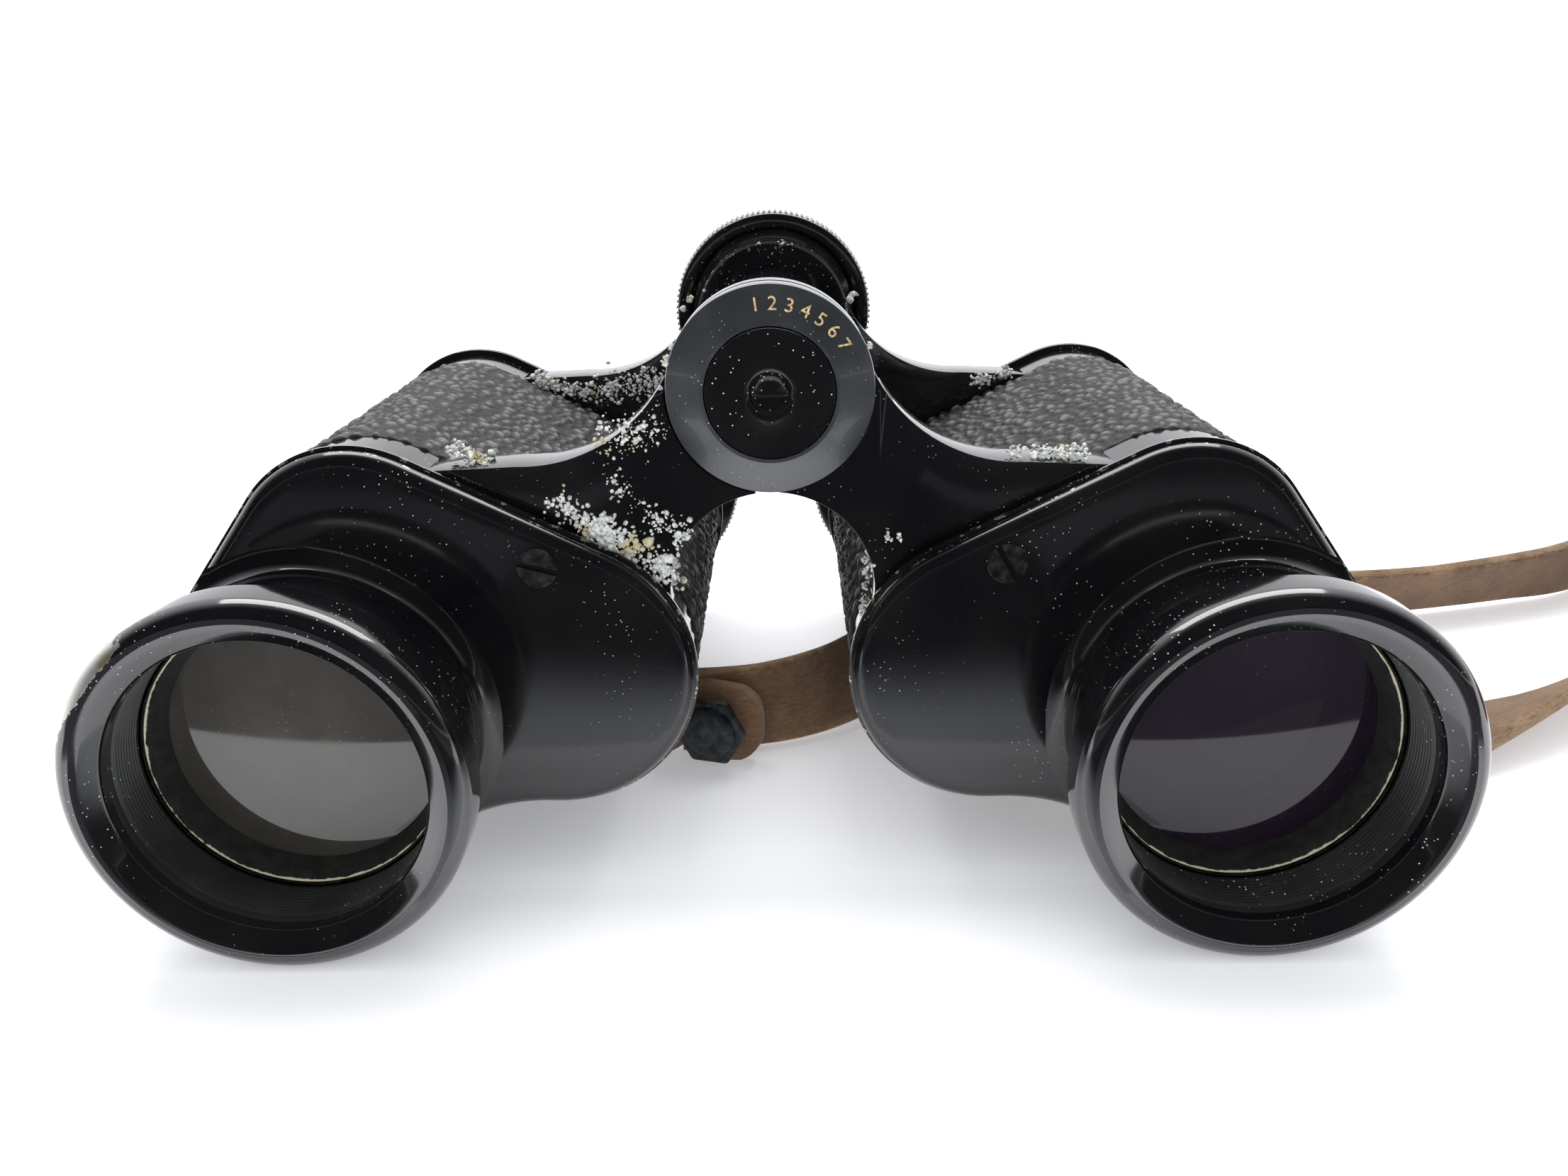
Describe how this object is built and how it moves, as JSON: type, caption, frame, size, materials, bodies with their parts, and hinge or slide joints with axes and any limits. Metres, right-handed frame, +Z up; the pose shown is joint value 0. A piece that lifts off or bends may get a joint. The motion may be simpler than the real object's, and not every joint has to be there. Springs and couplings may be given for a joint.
{
  "type": "prism binoculars",
  "caption": "Prism binoculars with two leather-covered housings on a central hinge, centre focusing, a dioptre setting on one eyepiece, and a leather neck strap.",
  "frame": {"origin": "on the surface that the part rests on, under the middle of the binoculars without the strap", "axes": "+Z up, +Y along the hinge axis from the objectives to the eyepieces, +X to the barrel that holds the hinge axle"},
  "size_m": [0.3478, 0.1496, 0.0727],
  "materials": {
    "black_enamel": "gloss",
    "covering": "pebbled",
    "screw_steel": "blackened",
    "black_brass": "blackened",
    "coated_glass": "polished",
    "prism_glass": "polished",
    "spring_brass": "satin",
    "eyecup_black": "gloss",
    "strap_leather": "suede",
    "stud_steel": "blackened"
  },
  "bodies": {
    "right_barrel": {"right_prism_body": "black_enamel", "right_leather_cover": "covering", "right_front_cover": "black_enamel", "right_rear_cover": "black_enamel", "right_cover_screws": "screw_steel", "right_objective_bezel": "black_enamel", "right_retaining_ring": "black_brass", "right_objective_cell": "black_brass", "right_objective_lens": "coated_glass", "right_prism_shelf": "black_brass", "right_front_prism": "prism_glass", "right_rear_prism": "prism_glass", "right_prism_clips": "spring_brass", "right_ocular_guide": "black_brass", "right_strap_post": "black_brass", "right_front_arm": "black_enamel", "right_rear_arm": "black_enamel", "hinge_axle": "screw_steel", "hinge_sleeve": "black_enamel", "hinge_disc": "black_enamel", "hinge_cap": "black_enamel", "spacing_disc": "black_brass", "strap_far": "strap_leather", "strap_near": "strap_leather", "strap_coil": "strap_leather"},
    "left_barrel": {"left_prism_body": "black_enamel", "left_leather_cover": "covering", "left_front_cover": "black_enamel", "left_rear_cover": "black_enamel", "left_cover_screws": "screw_steel", "left_objective_bezel": "black_enamel", "left_retaining_ring": "black_brass", "left_objective_cell": "black_brass", "left_objective_lens": "coated_glass", "left_prism_shelf": "black_brass", "left_front_prism": "prism_glass", "left_rear_prism": "prism_glass", "left_prism_clips": "spring_brass", "left_ocular_guide": "black_brass", "left_strap_post": "black_brass", "left_front_arm": "black_enamel", "left_rear_arm": "black_enamel", "strap_tab": "strap_leather", "strap_stud": "stud_steel"},
    "focus_wheel": {"focus_wheel": "black_enamel"},
    "left_bridge": {"left_bridge_arm": "black_enamel", "left_ocular_tube": "black_brass", "left_eyecup": "eyecup_black", "left_eye_lens": "coated_glass", "left_field_lens": "prism_glass"},
    "right_bridge": {"right_bridge_arm": "black_enamel", "focus_spindle": "screw_steel", "bridge_nut": "black_enamel"},
    "dioptre_ring": {"dioptre_ring": "black_brass"},
    "right_ocular": {"right_ocular_tube": "black_brass", "right_eyecup": "eyecup_black", "right_eye_lens": "coated_glass", "right_field_lens": "prism_glass"}
  },
  "joints": [
    {"name": "hinge_fold", "type": "hinge", "parent": "right_barrel", "child": "left_barrel", "pos_m": [0, 0, 0.0577], "axis": [0, 1, 0], "range_deg": [0, 48]},
    {"name": "focus_turn", "type": "hinge", "parent": "right_barrel", "child": "focus_wheel", "pos_m": [0, 0.0308, 0.0577], "axis": [0, 1, 0], "range_deg": [-60, 270]},
    {"name": "right_bridge_slide", "type": "slide", "parent": "right_barrel", "child": "right_bridge", "axis": [0, 1, 0], "range_m": [-0.0013, 0.0058]},
    {"name": "left_bridge_slide", "type": "slide", "parent": "left_barrel", "child": "left_bridge", "axis": [0, 1, 0], "range_m": [-0.0013, 0.0058]},
    {"name": "dioptre_slide", "type": "slide", "parent": "right_bridge", "child": "dioptre_ring", "axis": [0, 1, 0], "range_m": [-0.00145, 0.00145]},
    {"name": "dioptre_turn", "type": "hinge", "parent": "dioptre_ring", "child": "right_ocular", "pos_m": [0.0254, 0.0448, 0.0261], "axis": [0, 1, 0], "range_deg": [-120, 120]}
  ],
  "couplings": [
    {"joint": "focus_turn", "follows": "right_bridge_slide", "rad_per_m": 800},
    {"joint": "left_bridge_slide", "follows": "right_bridge_slide", "ratio": 1},
    {"joint": "dioptre_turn", "follows": "dioptre_slide", "rad_per_m": 1400}
  ]
}
